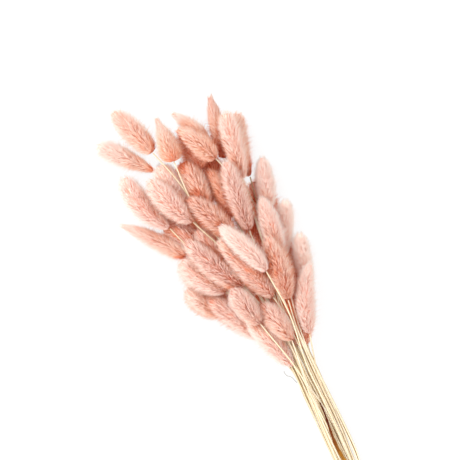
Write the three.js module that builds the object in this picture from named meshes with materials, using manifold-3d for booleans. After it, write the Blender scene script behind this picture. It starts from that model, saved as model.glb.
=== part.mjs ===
// A bunch of dried bunny tail grass, lying on a table. Furry flower heads fan out on bare straw
// stems, an elastic band holds the stems near their cut ends, and one dry leaf lies along them.
// Millimetres. +Z is up, +X runs along the bunch towards the heads, and the table is at z = 0.
import * as THREE from 'three';
import { mergeVertices } from 'three/addons/utils/BufferGeometryUtils.js';
import Module from 'manifold-3d';

const wasm = await Module();
wasm.setup();

// Clearance between any two pieces, and what the settling keeps on top of it for facets.
const GAP = 0.3;
const FACET_ROOM = 0.25;

// Stems. Four are pressed into one under the band, and they stand apart everywhere else.
const STEM_WIDTH = 1.4;
const STEM_SIDES = 5;
const STEM_STEP = 34;
const STEMS_IN_CLUMP = 4;
const PRESSED_PITCH = 1.05;
const CUT_UNEVENNESS = 7;

// The straight part of the bundle, by its place along the bunch: its middle line and how far the
// stems spread sideways there, against their places under the band.
const CUT_END = 4;
const BAND_AT = 56;
const BAND_HALF_RUN = 7;
const NECK_AT = 186;
const BUNDLE_ACROSS = -9;
const BUNDLE_SLOPE = -0.085;
const SPREAD_IN_RUN = 2;
const SPREAD_AT_CUT = 1.6;

// The elastic band, wound three times. It runs round the stems as a rounded oblong, a little wider
// than their outermost ones, and is thinner in the grooves between its turns.
const BAND_TURNS = 3;
const BAND_TURN_PITCH = 2.1;
const BAND_THICK = 1.3;
const BAND_GROOVE = 0.6;
const BAND_SIDES = 16;
const BAND_EASE = 1.14;
const BAND_SQUARENESS = 4;

// How the stems stand under the band.
const CLUMP_ROWS = [4, 4, 4];
const CLUMP_PITCH = 2.8;
const ROW_PITCH = 2.8;

// Heads: facets, the depth of the tufts, how far a tuft leans to the tip, and the flat rest.
const HEAD_SIDES = 12;
const HEAD_RINGS = 11;
const HEAD_POINTS = 7;
const HEAD_MIDDLE = 3;
const TUFT_DEPTH = 1.7;
const TUFT_LEAN = 2.3;
const RING_ROUNDING = 0.55;
const NEAREST_TIP = 0.004;
const END_ROOM = 0.03;
const BASE_FULLNESS = 0.42;
const TIP_FULLNESS = 0.62;
const REST_FLAT = 0.6;
const FUR_REACH = 1.1;
const TIER_HEIGHT = 13;
const TABLE_TIER = 0;

// Settling: how easily heads and stems give way, how firmly each keeps its place in plan and a head
// its height, and how strongly bends are evened out. A pair that hardly gives way is parted over
// several rounds.
const HEAD_GIVE = 0.35;
const STEM_GIVE = 1;
const LEAST_GIVE = 0.35;
const HEAD_HOLD = 0.12;
const STEM_HOLD = 0.03;
const HEIGHT_HOLD = 0.15;
const TABLE_HOLD = 0.3;
const STIFFNESS = 0.45;
const ROUNDS = 420;
const LOOSE_ROUNDS = 300;
const HARDENING_ROUNDS = 60;
const PAIRING_EVERY = 15;
const PAIRING_REACH = 3;

// How a stem leaves its head: it joins the straight bundle this far below the head's base at the
// least, swings over this share of the way at each end, and climbs late to a high head.
const LEAST_SWEEP = 38;
const SWEEP_REACH = 0.38;
const CLIMB = 1.3;
const SPREAD_WITHIN = 1 / 3;

// The dry leaf, which lies on the bundle between the band and the heads.
const LEAF_FROM = 92;
const LEAF_TO = 150;
const LEAF_WIDE = 4.2;
const LEAF_THICK = 0.7;
const LEAF_STEPS = 8;
const LEAF_ACROSS = 1.5;
const LEAF_DRIFT = 1.6;
const LEAF_WAVES = 0.75;
const LEAF_POINT = 0.25;
const LEAF_TAPER = 1.6;
const LEAF_CROWN = 0.5;

// What is cut away where a piece is pressed against the table.
const TABLE_SIZE = 1200;
const TABLE_DEEP = 40;

// A head by the place of its base along and across the bunch, its lean from the bunch's line in
// degrees, its length, the width of its firm part, and its tier above the table. The fur stands
// out past the firm part. Bow is a sideways arch.
const head = (along, across, lean, long, firm, tier, bow = 0) => ({
  along, across, lean, long, wide: firm + 2 * FUR_REACH, tier, bow,
});

const CROWN = [
  head(405, -2, 17, 50, 18.5, 1.9),
  head(387, 8, 34, 58, 16.5, 1.7, -2),
  head(389, -14, -5, 41, 17.5, 2.9),
  head(393, -47, 26, 38, 11, 1.1),
  head(374, -46, 26, 43, 17, 2.8),
  head(370, -51, -16, 56, 11.5, 1.2),
  head(347, -55, -15, 60, 15.5, 2.3),
  head(347, -59, -23, 57, 12.5, 0.8, 4.5),
];

const LEFT_FLANK = [
  head(343, -3, 3, 52, 19, 1.6),
  head(336, 1, 16, 53, 16.5, 3),
  head(342, 20, 11, 60, 17.5, 1.9, 5.5),
  head(331, 9, 18, 42, 12.5, 0.5),
  head(315, 14, 39, 66, 14, 1.2, -0.5),
  head(271, 4, 29, 49, 17, 1.7),
  head(266, -10, 22, 67, 17.5, 3.2),
  head(258, 4, 30, 51, 15.5, 0.5),
  head(255, 18, 24, 40, 12.5, 0.7),
  head(300, 3, 24, 52, 15, 1),
];

const RIGHT_FLANK = [
  head(313, -59, -25, 48, 16, 1.1),
  head(269, -48.5, -33, 55, 13.5, 1.1),
  head(275, -49, -13, 54, 17, 2.1),
  head(239, -38, -11, 60, 18, 2.5),
  head(236, -54, -23, 53, 13.5, 1, 1),
  head(227, -42, -19, 61, 13, 0.5),
  head(205, -37, -32, 62, 15.5, 1.9, 5.5),
];

const MIDDLE = [
  head(339, -15, -4, 48, 18, 1.6),
  head(306, -37, -12, 65, 16, 3.2),
  head(323, -33, 1, 48, 14, 1.2),
  head(345, -24, -9, 47, 14, 1),
  head(281, -39, -7, 50, 13.5, 0.7),
  head(307, -25, 21, 55, 17, 2.5),
  head(296, -24, 20, 46, 14.5, 1),
  head(269, -33, 15, 57, 14.5, 4),
  head(246, -26, 13, 70, 17.5, 3.2),
  head(283, -13, 15, 50, 15, 1.6),
  head(372, -31, -4, 40, 13, 1.2),
];

const NECK = [
  head(222, 1, 22, 57, 15.5, 0.9, -2.5),
  head(188, -16, 18, 58, 15.5, 1.4, -2),
  head(234, -12, 19, 40, 15.5, 2.9),
  head(208, -22, 13, 44, 15.5, 2.5),
  head(197, -30, -1, 56, 14, 1),
];

const UNDERSIDE = [
  head(340, -19, -4, 46, 15, TABLE_TIER),
  head(318, -6, 10, 50, 15.5, TABLE_TIER),
  head(296, -52, -14, 48, 14.5, TABLE_TIER),
  head(262, -24, 6, 54, 15.5, TABLE_TIER),
  head(226, -22, 2, 52, 14.5, TABLE_TIER),
];

const HEADS = [...CROWN, ...LEFT_FLANK, ...RIGHT_FLANK, ...MIDDLE, ...NECK, ...UNDERSIDE];

// A repeatable source of draws between 0 and 1.
function seededDraws(seed) {
  let state = seed;
  return () => {
    state = (state * 1664525 + 1013904223) % 4294967296;
    return state / 4294967296;
  };
}

// An arch that rises to 1 in the middle.
const arch = (share) => 4 * share * (1 - share);

// The head's half width at a share of its length, counted from the base.
function headRadius(share, wide) {
  const fullest = BASE_FULLNESS / (BASE_FULLNESS + TIP_FULLNESS);
  const shape = (s) => s ** BASE_FULLNESS * (1 - s) ** TIP_FULLNESS;
  return (wide / 2) * (shape(share) / shape(fullest));
}

// The places of the clumps under the band, row by row from the table up.
function clumpPlaces() {
  const lowest = BAND_THICK + GAP + STEM_WIDTH / 2 + PRESSED_PITCH / 2;
  const places = [];
  CLUMP_ROWS.forEach((count, row) => {
    for (let i = 0; i < count; i += 1) {
      places.push({ across: (i - (count - 1) / 2) * CLUMP_PITCH, up: lowest + row * ROW_PITCH });
    }
  });
  return places;
}

// The stems' places round the middle of their clump.
function stemPlace(clump, index) {
  const reach = PRESSED_PITCH / Math.sqrt(2);
  const angle = Math.PI / 4 + (index * 2 * Math.PI) / STEMS_IN_CLUMP;
  return {
    across: clump.across + reach * Math.cos(angle),
    up: clump.up + reach * Math.sin(angle),
  };
}

// Low heads take the lowest row of clumps, and each row is filled from right to left.
function shareOutStems() {
  const byTier = HEADS.map((_, i) => i).sort((a, b) => HEADS[a].tier - HEADS[b].tier);
  const places = clumpPlaces();
  const seats = [];
  let taken = 0;
  let clump = 0;
  for (const count of CLUMP_ROWS) {
    const row = byTier.slice(taken, taken + count * STEMS_IN_CLUMP);
    row.sort((a, b) => fanOrder(HEADS[a]) - fanOrder(HEADS[b]));
    row.forEach((which, i) => {
      const own = clump + Math.floor(i / STEMS_IN_CLUMP);
      const seat = stemPlace(places[own], i % STEMS_IN_CLUMP);
      seats[which] = { clump: own, ...seat };
    });
    taken += row.length;
    clump += count;
  }
  return seats;
}

// Where a head's stem stands in the fan, from right to left as seen from the band.
function fanOrder(one) {
  return Math.atan2(one.across - BUNDLE_ACROSS, one.along - BAND_AT);
}

// A stem's place across the bunch in the straight part of the bundle.
function acrossInBundle(along, seat) {
  const slope = BUNDLE_SLOPE * (along - BAND_AT);
  const far = along > BAND_AT ? NECK_AT : CUT_END;
  const spread = along > BAND_AT ? SPREAD_IN_RUN : SPREAD_AT_CUT;
  const share = Math.min(1, (along - BAND_AT) / (far - BAND_AT) / SPREAD_WITHIN);
  return BUNDLE_ACROSS + slope + seat.across * (1 + (spread - 1) * share);
}

// A strand is a head with its stem: points from the head's tip to the stem's cut end, where each
// should lie in plan, how thick the strand is there and how easily it gives way.
function layOut(one, seat, draw) {
  const lean = THREE.MathUtils.degToRad(one.lean);
  const ahead = new THREE.Vector3(Math.cos(lean), Math.sin(lean), 0);
  const aside = new THREE.Vector3(-Math.sin(lean), Math.cos(lean), 0);
  const base = new THREE.Vector3(one.along, one.across, 0);
  const height = one.wide / 2 - REST_FLAT + one.tier * TIER_HEIGHT;
  const strand = { one, clump: seat.clump, points: [], radii: [], give: [], hold: [] };
  const put = (point, radius, give, hold) => {
    strand.points.push(point);
    strand.radii.push(radius);
    strand.give.push(give);
    strand.hold.push(hold);
  };
  for (let i = 0; i < HEAD_POINTS; i += 1) {
    const share = 1 - i / (HEAD_POINTS - 1);
    const point = base.clone().addScaledVector(ahead, share * one.long);
    point.addScaledVector(aside, one.bow * arch(share));
    point.z = height;
    const inside = THREE.MathUtils.clamp(share, END_ROOM, 1 - END_ROOM);
    put(point, headRadius(inside, one.wide), HEAD_GIVE, HEAD_HOLD);
  }
  const joinAt = Math.min(NECK_AT, one.along - LEAST_SWEEP);
  const join = new THREE.Vector3(joinAt, acrossInBundle(joinAt, seat), 0);
  const reach = base.distanceTo(join) * SWEEP_REACH;
  const sweep = new THREE.CubicBezierCurve3(
    base,
    base.clone().addScaledVector(ahead, -reach),
    join.clone().add(new THREE.Vector3(reach, reach * BUNDLE_SLOPE, 0)),
    join,
  );
  const sweepSteps = Math.max(1, Math.round(sweep.getLength() / STEM_STEP));
  const route = sweep.getSpacedPoints(sweepSteps).slice(1);
  const straightSteps = Math.max(1, Math.round((joinAt - BAND_AT - BAND_HALF_RUN) / STEM_STEP));
  for (let i = 1; i < straightSteps; i += 1) {
    const along = THREE.MathUtils.lerp(joinAt, BAND_AT + BAND_HALF_RUN, i / straightSteps);
    route.push(new THREE.Vector3(along, acrossInBundle(along, seat), 0));
  }
  const far = one.along - BAND_AT;
  for (const point of route) {
    const share = THREE.MathUtils.clamp((point.x - BAND_AT) / far, 0, 1);
    point.z = THREE.MathUtils.lerp(seat.up, height, share ** CLIMB);
    put(point, STEM_WIDTH / 2, STEM_GIVE, STEM_HOLD);
  }
  for (const along of [BAND_AT + BAND_HALF_RUN, BAND_AT - BAND_HALF_RUN]) {
    put(new THREE.Vector3(along, BUNDLE_ACROSS + seat.across, seat.up), STEM_WIDTH / 2, 0, 1);
  }
  const cut = CUT_END + CUT_UNEVENNESS * (draw() - 0.5);
  const end = new THREE.Vector3(cut, acrossInBundle(cut, seat), seat.up);
  put(end, STEM_WIDTH / 2, STEM_GIVE, STEM_HOLD);
  strand.goals = strand.points.map((point) => point.clone());
  strand.links = strand.points.slice(1).map((point, i) => point.distanceTo(strand.points[i]));
  return strand;
}

// Shares of two straight stretches at which they come closest.
function closest(a, b, c, d) {
  const u = b.clone().sub(a);
  const v = d.clone().sub(c);
  const w = a.clone().sub(c);
  const uu = u.dot(u);
  const uv = u.dot(v);
  const vv = v.dot(v);
  const uw = u.dot(w);
  const vw = v.dot(w);
  const flat = uu * vv - uv * uv;
  let s = flat > 1e-9 ? THREE.MathUtils.clamp((uv * vw - vv * uw) / flat, 0, 1) : 0.5;
  const t = THREE.MathUtils.clamp((uv * s + vw) / vv, 0, 1);
  s = THREE.MathUtils.clamp((uv * t - uw) / uu, 0, 1);
  return [s, t];
}

// Every pair of stretches of different strands that lie near each other now.
function nearPairs(strands, reach) {
  const stretches = [];
  strands.forEach((strand) => {
    for (let i = 0; i + 1 < strand.points.length; i += 1) {
      const box = new THREE.Box3().setFromPoints([strand.points[i], strand.points[i + 1]]);
      box.expandByScalar(Math.max(strand.radii[i], strand.radii[i + 1]) + reach);
      stretches.push({ strand, i, box });
    }
  });
  const pairs = [];
  for (let m = 0; m < stretches.length; m += 1) {
    for (let n = m + 1; n < stretches.length; n += 1) {
      const p = stretches[m];
      const q = stretches[n];
      if (p.strand !== q.strand && p.box.intersectsBox(q.box)) pairs.push([p, q]);
    }
  }
  return pairs;
}

// Moves two stretches apart until they clear each other.
function partPair([p, q], room) {
  const [a, b] = [p.strand.points[p.i], p.strand.points[p.i + 1]];
  const [c, d] = [q.strand.points[q.i], q.strand.points[q.i + 1]];
  const [s, t] = closest(a, b, c, d);
  const between = a.clone().lerp(b, s).sub(c.clone().lerp(d, t));
  const radiusP = THREE.MathUtils.lerp(p.strand.radii[p.i], p.strand.radii[p.i + 1], s);
  const radiusQ = THREE.MathUtils.lerp(q.strand.radii[q.i], q.strand.radii[q.i + 1], t);
  const distance = Math.max(between.length(), 1e-6);
  const short = radiusP + radiusQ + room - distance;
  if (short <= 0) return;
  const shares = [
    [a, p.strand.give[p.i] * (1 - s), 1 - s, 1],
    [b, p.strand.give[p.i + 1] * s, s, 1],
    [c, q.strand.give[q.i] * (1 - t), 1 - t, -1],
    [d, q.strand.give[q.i + 1] * t, t, -1],
  ];
  const give = shares.reduce((sum, [, weight, share]) => sum + weight * share, 0);
  if (give < 1e-9) return;
  const push = short / (Math.max(give, LEAST_GIVE) * distance);
  for (const [point, weight, , side] of shares) {
    point.addScaledVector(between, side * weight * push);
  }
}

// Stems of one clump may touch near the band, where they are pressed into one.
function pressedTogether([p, q]) {
  if (p.strand.clump !== q.strand.clump) return false;
  const alongP = Math.min(p.strand.points[p.i].x, p.strand.points[p.i + 1].x);
  const alongQ = Math.min(q.strand.points[q.i].x, q.strand.points[q.i + 1].x);
  return Math.min(alongP, alongQ) < BAND_AT + BAND_HALF_RUN;
}

// Keeps the head's own length, evens out the stem's bends and draws all points to their places.
function relax(strand, ease) {
  const { points, goals, give, hold, links, radii, one } = strand;
  for (let i = 1; i + 1 < points.length; i += 1) {
    if (give[i] === 0) continue;
    const middle = points[i - 1].clone().add(points[i + 1]).multiplyScalar(0.5);
    const wished = goals[i - 1].clone().add(goals[i + 1]).multiplyScalar(0.5).sub(goals[i]);
    const pull = middle.sub(points[i]);
    pull.x -= wished.x;
    pull.y -= wished.y;
    points[i].addScaledVector(pull, STIFFNESS * ease);
  }
  points.forEach((point, i) => {
    if (give[i] === 0) return;
    point.x += (goals[i].x - point.x) * hold[i] * ease;
    point.y += (goals[i].y - point.y) * hold[i] * ease;
    if (i === HEAD_MIDDLE || (one.tier === TABLE_TIER && i < HEAD_POINTS)) {
      const pull = one.tier === TABLE_TIER ? TABLE_HOLD : HEIGHT_HOLD;
      point.z += (goals[i].z - point.z) * pull * ease;
    }
  });
  for (let i = 0; i + 1 < HEAD_POINTS; i += 1) {
    const span = points[i + 1].clone().sub(points[i]);
    const fix = (span.length() - links[i]) / (2 * span.length());
    points[i].addScaledVector(span, fix);
    points[i + 1].addScaledVector(span, -fix);
  }
  points.forEach((point, i) => {
    const low = i < HEAD_POINTS ? radii[i] - REST_FLAT : radii[i];
    if (give[i] > 0) point.z = Math.max(point.z, low);
  });
}

// Lets the strands find room beside and on top of each other, first loosely and then exactly.
function settle(strands) {
  let pairs = [];
  for (let round = 0; round < ROUNDS; round += 1) {
    if (round % PAIRING_EVERY === 0) {
      pairs = nearPairs(strands, PAIRING_REACH).filter((pair) => !pressedTogether(pair));
    }
    const ease = THREE.MathUtils.clamp(1 - (round - LOOSE_ROUNDS) / HARDENING_ROUNDS, 0, 1);
    strands.forEach((strand) => relax(strand, ease));
    for (const pair of pairs) partPair(pair, GAP + FACET_ROOM);
  }
}

function solidOf(geometry) {
  const bare = geometry.clone();
  bare.deleteAttribute('normal');
  bare.deleteAttribute('uv');
  const merged = mergeVertices(bare, 1e-4);
  const mesh = new wasm.Mesh({
    numProp: 3,
    vertProperties: new Float32Array(merged.attributes.position.array),
    triVerts: new Uint32Array(merged.index.array),
  });
  return new wasm.Manifold(mesh);
}

function geometryOf(solid) {
  const mesh = solid.getMesh();
  const geometry = new THREE.BufferGeometry();
  geometry.setAttribute('position', new THREE.BufferAttribute(mesh.vertProperties, 3));
  geometry.setIndex(new THREE.BufferAttribute(mesh.triVerts, 1));
  geometry.computeVertexNormals();
  return geometry;
}

// What the table takes up, to cut flat rests where a piece is pressed against it.
function tableSolid() {
  const table = new THREE.BoxGeometry(TABLE_SIZE, TABLE_SIZE, TABLE_DEEP);
  table.translate(TABLE_SIZE / 4, 0, -TABLE_DEEP / 2);
  return solidOf(table);
}

// The triangles of a head's net. Each square is folded between its two sunk points, so that every
// raised point is a tuft of its own.
function tuftedNet() {
  const triangles = [];
  const row = HEAD_SIDES + 1;
  for (let ring = 0; ring < HEAD_RINGS; ring += 1) {
    for (let side = 0; side < HEAD_SIDES; side += 1) {
      const a = ring * row + side;
      const [b, c, d] = [a + 1, a + row, a + row + 1];
      if (ring === 0) triangles.push(a, c, d);
      else if (ring === HEAD_RINGS - 1) triangles.push(a, c, b);
      else if ((ring + side) % 2 === 0) triangles.push(a, c, b, b, c, d);
      else triangles.push(a, c, d, a, d, b);
    }
  }
  return triangles;
}

// A head is a ball drawn out along its spine. Every second point of its net is sunk, and the
// others lean towards the tip, so that the surface stands out in overlapping tufts.
function headGeometry(strand, table) {
  const { one } = strand;
  const spine = new THREE.CatmullRomCurve3(strand.points.slice(0, HEAD_POINTS));
  const ball = new THREE.SphereGeometry(1, HEAD_SIDES, HEAD_RINGS);
  const net = ball.attributes.position;
  const up = new THREE.Vector3(0, 0, 1);
  for (let ring = 0; ring <= HEAD_RINGS; ring += 1) {
    for (let side = 0; side <= HEAD_SIDES; side += 1) {
      const even = ring / HEAD_RINGS;
      const rounded = (1 - Math.cos(Math.PI * even)) / 2;
      const raised = (ring + side) % 2 === 0;
      const pole = ring === 0 || ring === HEAD_RINGS;
      let down = THREE.MathUtils.lerp(even, rounded, RING_ROUNDING);
      const radius = headRadius(1 - down, one.wide);
      const fullness = pole ? 0 : radius / (one.wide / 2);
      const sunk = raised ? radius : radius - TUFT_DEPTH * fullness;
      const leant = down - (TUFT_LEAN * fullness) / one.long;
      if (raised && !pole) down = Math.max(NEAREST_TIP, leant);
      const centre = spine.getPoint(down);
      const back = spine.getTangent(down);
      const aside = new THREE.Vector3().crossVectors(up, back).normalize();
      const over = new THREE.Vector3().crossVectors(back, aside);
      const angle = (-2 * Math.PI * (side % HEAD_SIDES)) / HEAD_SIDES;
      const out = aside.multiplyScalar(Math.cos(angle)).addScaledVector(over, Math.sin(angle));
      centre.addScaledVector(out, pole ? 0 : sunk);
      net.setXYZ(ring * (HEAD_SIDES + 1) + side, centre.x, centre.y, centre.z);
    }
  }
  ball.setIndex(tuftedNet());
  return geometryOf(solidOf(ball).subtract(table));
}

// A curve whose steps fall exactly on its points.
class StepCurve extends THREE.CatmullRomCurve3 {
  getPointAt(share, target) {
    return this.getPoint(share, target);
  }

  getTangentAt(share, target) {
    return this.getTangent(share, target);
  }
}

// A stem runs from just under its head to its cut end.
function stemSolid(strand) {
  const points = strand.points.slice(HEAD_POINTS - 1).map((point) => point.clone());
  const run = points[1].clone().sub(points[0]).normalize();
  points[0].addScaledVector(run, GAP);
  const section = new THREE.Shape();
  for (let i = 0; i < STEM_SIDES; i += 1) {
    const angle = (2 * Math.PI * i) / STEM_SIDES;
    const [x, y] = [Math.cos(angle) * STEM_WIDTH / 2, Math.sin(angle) * STEM_WIDTH / 2];
    if (i === 0) section.moveTo(x, y);
    else section.lineTo(x, y);
  }
  section.closePath();
  const tube = new THREE.ExtrudeGeometry(section, {
    steps: points.length - 1,
    bevelEnabled: false,
    extrudePath: new StepCurve(points),
  });
  return solidOf(tube);
}

function stemClumps(strands) {
  const count = CLUMP_ROWS.reduce((sum, n) => sum + n, 0);
  return Array.from({ length: count }, (_, clump) => {
    const stems = strands.filter((strand) => strand.clump === clump).map(stemSolid);
    return geometryOf(stems.reduce((all, stem) => all.add(stem)));
  });
}

// The band's section: its flat inside, then a ridge for each turn, as a place along the bunch and a
// height above the inside.
function bandSection() {
  const half = (BAND_TURNS * BAND_TURN_PITCH) / 2;
  const groove = BAND_THICK * BAND_GROOVE;
  const section = [[-half, 0], [-half, groove]];
  for (let turn = 0; turn < BAND_TURNS; turn += 1) {
    const start = -half + turn * BAND_TURN_PITCH;
    section.push([start + BAND_TURN_PITCH / 2, BAND_THICK], [start + BAND_TURN_PITCH, groove]);
  }
  section.push([half, 0]);
  return section;
}

// The band is its section carried round the stems.
function bandGeometry(table) {
  const places = clumpPlaces();
  const middle = places[0].up + ((CLUMP_ROWS.length - 1) * ROW_PITCH) / 2;
  const clear = STEM_WIDTH / 2 + GAP;
  const stems = places.flatMap((clump) => [0, 1, 2, 3].map((i) => stemPlace(clump, i)));
  const halfAcross = Math.max(...stems.map(({ across }) => Math.abs(across))) + clear;
  const halfUp = Math.max(...stems.map(({ up }) => Math.abs(up - middle))) + clear;
  const rounded = (value) => Math.sign(value) * Math.abs(value) ** (2 / BAND_SQUARENESS);
  const section = bandSection();
  const corners = [];
  for (let side = 0; side < BAND_SIDES; side += 1) {
    const angle = (2 * Math.PI * (side + 0.5)) / BAND_SIDES;
    const across = BAND_EASE * halfAcross * rounded(Math.cos(angle));
    const up = BAND_EASE * halfUp * rounded(Math.sin(angle));
    const far = Math.hypot(across, up);
    for (const [along, height] of section) {
      const out = 1 + height / far;
      corners.push(BAND_AT + along, BUNDLE_ACROSS + across * out, middle + up * out);
    }
  }
  const faces = [];
  const row = section.length;
  for (let side = 0; side < BAND_SIDES; side += 1) {
    for (let i = 0; i < row; i += 1) {
      const [a, b] = [side * row + i, side * row + ((i + 1) % row)];
      const [c, d] = [a, b].map((corner) => (corner + row) % (row * BAND_SIDES));
      faces.push(a, c, b, b, c, d);
    }
  }
  const ring = new THREE.BufferGeometry();
  ring.setAttribute('position', new THREE.Float32BufferAttribute(corners, 3));
  ring.setIndex(faces);
  return geometryOf(solidOf(ring).subtract(table));
}

// The top of the bundle at a place in plan, over the width of the leaf.
function bundleTop(strands, along, across) {
  let top = 0;
  for (const strand of strands) {
    for (let i = HEAD_POINTS - 1; i + 1 < strand.points.length; i += 1) {
      const [a, b] = [strand.points[i], strand.points[i + 1]];
      if (along > a.x || along < b.x) continue;
      const at = a.clone().lerp(b, (along - a.x) / (b.x - a.x));
      if (Math.abs(at.y - across) < (LEAF_WIDE + STEM_WIDTH) / 2) {
        top = Math.max(top, at.z + STEM_WIDTH / 2);
      }
    }
  }
  return top;
}

// The leaf is a flat strip with a blunt foot and a long point, laid on the stems.
function leafGeometry(strands) {
  const strip = new THREE.BoxGeometry(1, 1, 1, LEAF_STEPS, 2, 1);
  const net = strip.attributes.position;
  for (let i = 0; i < net.count; i += 1) {
    const share = net.getX(i) + 0.5;
    const along = THREE.MathUtils.lerp(LEAF_FROM, LEAF_TO, share);
    const drift = LEAF_DRIFT * Math.sin(2 * Math.PI * LEAF_WAVES * share);
    const middle = BUNDLE_ACROSS + BUNDLE_SLOPE * (along - BAND_AT) + LEAF_ACROSS + drift;
    const half = (LEAF_WIDE / 2) * (1 - (1 - LEAF_POINT) * share ** LEAF_TAPER);
    const step = (LEAF_TO - LEAF_FROM) / LEAF_STEPS;
    const lowest = Math.max(
      ...[-1, -0.5, 0, 0.5, 1].map((shift) => bundleTop(strands, along + shift * step, middle)),
    );
    const crown = LEAF_CROWN * (1 - (2 * net.getY(i)) ** 2);
    const z = lowest + GAP + LEAF_THICK * (net.getZ(i) + 0.5) + crown;
    net.setXYZ(i, along, middle + 2 * half * net.getY(i), z);
  }
  return geometryOf(solidOf(strip));
}

const draw = seededDraws(20731);
const seats = shareOutStems();
const strands = HEADS.map((one, i) => layOut(one, seats[i], draw));
settle(strands);

const bunch = new THREE.Group();
const HEAD_TONES = ['#f0b8a4', '#f3c4b2', '#e9a58e', '#efb5b0', '#dd8f74'];

function addPiece(name, geometry, colour, roughness) {
  const finish = new THREE.MeshStandardMaterial({ color: colour, roughness, metalness: 0 });
  const piece = new THREE.Mesh(geometry, finish);
  piece.name = name;
  bunch.add(piece);
}

const number = (i) => String(i + 1).padStart(2, '0');
const table = tableSolid();
strands.forEach((strand, i) => {
  const tone = HEAD_TONES[Math.floor(draw() * HEAD_TONES.length)];
  addPiece(`head_${number(i)}`, headGeometry(strand, table), tone, 0.95);
});
stemClumps(strands).forEach((geometry, i) => {
  addPiece(`stems_${number(i)}`, geometry, '#ead9a9', 0.7);
});
addPiece('elastic_band', bandGeometry(table), '#c9a878', 0.8);
addPiece('dry_leaf', leafGeometry(strands), '#a8622f', 0.8);

// The origin goes to the middle of the bunch, on the table.
const reach = new THREE.Box3().setFromObject(bunch);
const middle = reach.getCenter(new THREE.Vector3());
bunch.children.forEach((piece) => piece.geometry.translate(-middle.x, -middle.y, 0));

export default bunch;
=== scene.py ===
"""Dresses a bunch of dried bunny tail grass: furry dyed heads, straw stems, a band and a dry leaf.

The bunch lies on a pale floor and the camera looks straight down on it. Lengths are in metres, in
the frame of the loaded model: +X runs along the bunch to the heads and +Z is up.
"""
import logging
import math
from collections.abc import Callable
from dataclasses import dataclass, field
from enum import Enum

import bpy
import numpy as np
from mathutils import Matrix, Vector


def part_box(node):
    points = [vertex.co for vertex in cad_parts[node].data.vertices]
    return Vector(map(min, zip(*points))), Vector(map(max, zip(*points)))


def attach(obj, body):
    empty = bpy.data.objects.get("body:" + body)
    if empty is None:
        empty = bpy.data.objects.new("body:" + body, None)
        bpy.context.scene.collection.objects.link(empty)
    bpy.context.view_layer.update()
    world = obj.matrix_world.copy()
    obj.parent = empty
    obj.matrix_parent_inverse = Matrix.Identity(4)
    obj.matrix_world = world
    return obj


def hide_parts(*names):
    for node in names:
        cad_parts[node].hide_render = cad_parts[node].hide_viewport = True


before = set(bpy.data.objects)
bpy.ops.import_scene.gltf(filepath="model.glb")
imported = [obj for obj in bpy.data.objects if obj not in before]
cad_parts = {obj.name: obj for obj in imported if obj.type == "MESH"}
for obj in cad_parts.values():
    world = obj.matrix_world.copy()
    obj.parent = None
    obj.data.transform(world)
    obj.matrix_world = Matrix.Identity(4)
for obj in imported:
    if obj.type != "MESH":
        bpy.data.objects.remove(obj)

logging.basicConfig(level=logging.INFO, format="%(message)s")
LOG = logging.getLogger("bunny_tail_bunch")

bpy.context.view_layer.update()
MM = 0.001
GOLDEN_ANGLE = math.pi * (3 - math.sqrt(5))
UP = np.array([0.0, 0.0, 1.0])
FLOOR_GAP = 0.05 * MM
TINY = 1e-12
BODY = "root"
# The map that each piece's own colours are laid in. The export keeps a map of this
# name, so what is laid in it reaches the baked model.
COLOUR_MAP = "OFBake"

Array = np.ndarray
Material = bpy.types.Material
Piece = bpy.types.Object
Socket = bpy.types.NodeSocket


class Slot(Enum):
    """The record's material slots."""

    FUR = "dyed_fur"
    STRAW = "straw"
    RUBBER = "natural_rubber"
    LEAF = "dry_leaf"


def linear(hex_colour: str) -> tuple[float, float, float, float]:
    """Turns an sRGB hex colour to linear light.

    Args:
        hex_colour: six hex digits after a hash sign.

    Returns:
        Red, green, blue and an alpha of 1.
    """
    values = [int(hex_colour[i:i + 2], 16) / 255 for i in (1, 3, 5)]
    light = [v / 12.92 if v <= 0.04045 else ((v + 0.055) / 1.055) ** 2.4 for v in values]
    return (*light, 1.0)


def add_node(
    material: Material,
    kind: str,
    settings: dict[str, object] | None = None,
    values: dict[str | int, object] | None = None,
    links: dict[str | int, Socket] | None = None,
) -> bpy.types.Node:
    """Adds one shader node with its settings, socket values and incoming links.

    Args:
        material: the material that gets the node.
        kind: the node's type name.
        settings: attributes of the node itself.
        values: fixed values by input.
        links: outputs of other nodes by input.

    Returns:
        The new node.
    """
    tree = material.node_tree
    node = tree.nodes.new(kind)
    for name, value in (settings or {}).items():
        setattr(node, name, value)
    for name, value in (values or {}).items():
        node.inputs[name].default_value = value
    for name, socket in (links or {}).items():
        tree.links.new(socket, node.inputs[name])
    return node


def new_material(name: str) -> Material:
    """Makes an empty node material.

    Args:
        name: the finish that it stands for.

    Returns:
        The material, with no nodes.
    """
    material = bpy.data.materials.new(name)
    material.use_nodes = True
    material.node_tree.nodes.clear()
    return material


def set_ramp(node: bpy.types.Node, stops: list[tuple[float, str]]) -> None:
    """Fills a colour ramp.

    Args:
        node: the ramp's node.
        stops: place and sRGB hex colour of each stop, in order.
    """
    ramp = node.color_ramp
    while len(ramp.elements) < len(stops):
        ramp.elements.new(0.5)
    for element, (place, colour) in zip(ramp.elements, stops):
        element.position = place
        element.color = linear(colour)


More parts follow.
